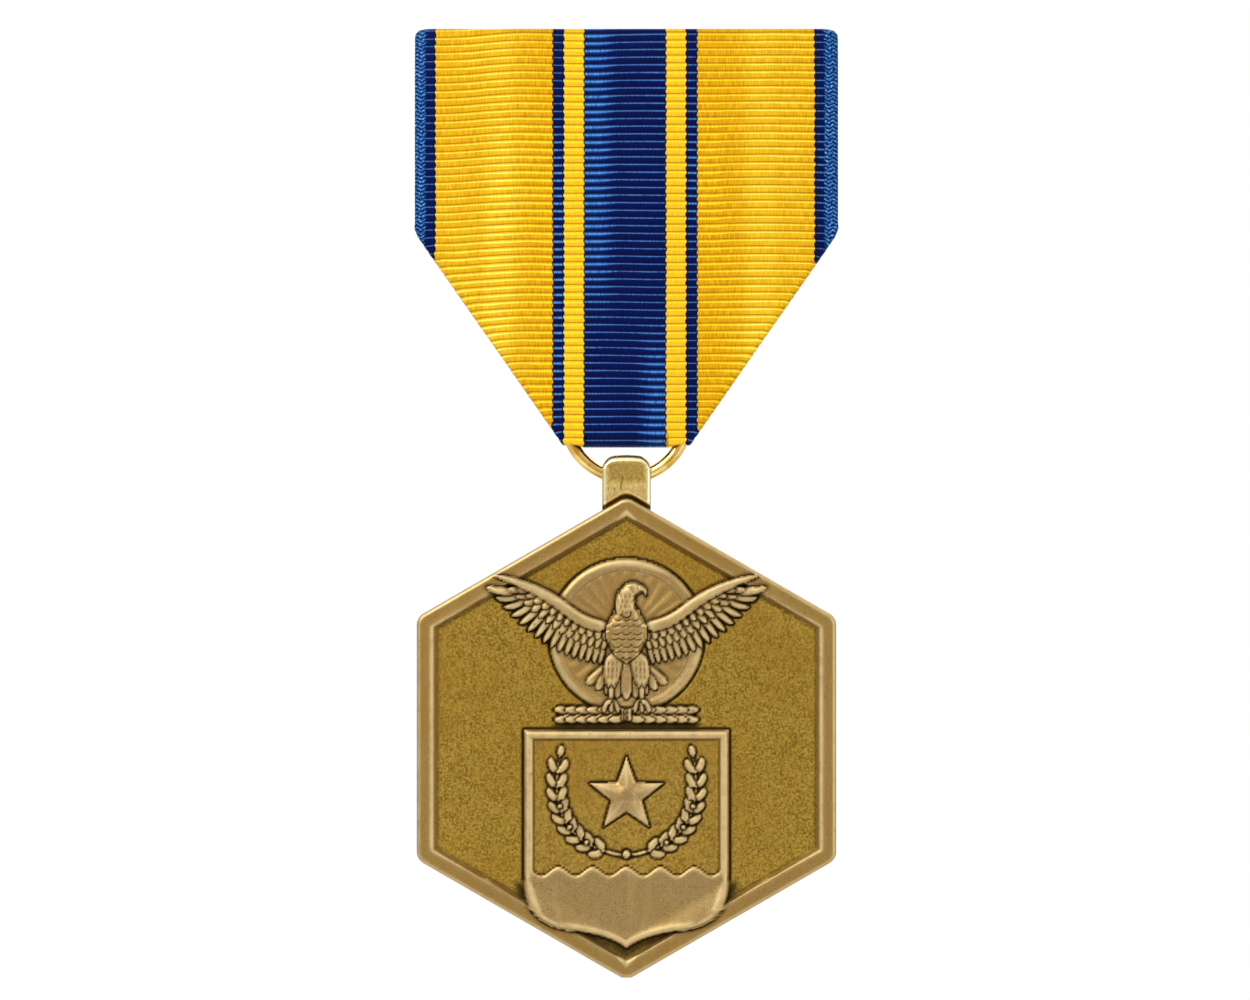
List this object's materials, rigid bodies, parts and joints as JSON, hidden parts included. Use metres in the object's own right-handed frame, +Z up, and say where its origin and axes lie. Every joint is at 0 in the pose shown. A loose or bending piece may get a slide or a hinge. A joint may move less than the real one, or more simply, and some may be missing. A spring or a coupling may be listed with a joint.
{
  "type": "service medal",
  "caption": "Full-size service medal: striped ribbon drape on a pin brooch, with a suspension ring and a six-sided struck medallion.",
  "frame": {"origin": "middle of the pin stem's length, on its axis, with the pin closed", "axes": "+X towards the pin's hinge, to the right as the front is seen; +Y backwards, out of the brooch into the garment; +Z up, towards the ribbon's top fold"},
  "size_m": [0.0348, 0.0064, 0.0784],
  "materials": {
    "ribbon_cloth": "ribbed rayon weave, yellow with ultramarine stripes",
    "thread": "twisted sewing thread",
    "brooch_brass": "satin gilt brass",
    "pin_nickel": "nickel-plated drawn wire",
    "ring_gilt": "polished gilt wire",
    "medal_bronze": "struck bronze, oxidised in the hollows and relieved on the high parts"
  },
  "bodies": {
    "drape": {"ribbon": "ribbon_cloth", "seam_thread": "thread", "mitre_tacks": "thread", "brooch_bar": "brooch_brass", "back_plate": "brooch_brass", "plate_rivets": "brooch_brass", "hinge_bracket": "brooch_brass", "hinge_rivet": "pin_nickel", "catch_housing": "brooch_brass"},
    "ring": {"suspension_ring": "ring_gilt"},
    "pendant": {"suspension_lug": "medal_bronze", "medallion": "medal_bronze"},
    "pin": {"pin_needle": "pin_nickel"},
    "catch": {"catch_rotor": "brooch_brass"}
  },
  "joints": [
    {"name": "ring_sway", "type": "hinge", "parent": "drape", "child": "ring", "pos_m": [0, -0.00285, -0.0265], "axis": [0, 1, 0], "range_deg": [-12, 12]},
    {"name": "pendant_swing", "type": "hinge", "parent": "ring", "child": "pendant", "pos_m": [0, -0.00285, -0.03129], "axis": [1, 0, 0], "range_deg": [-105, 105]},
    {"name": "pin_hinge", "type": "hinge", "parent": "drape", "child": "pin", "pos_m": [0.0135, 0, 0], "axis": [0, 0, -1], "range_deg": [0, 95]},
    {"name": "catch_lock", "type": "hinge", "parent": "drape", "child": "catch", "pos_m": [-0.012, 0, 0], "axis": [1, 0, 0], "range_deg": [0, 120]}
  ]
}
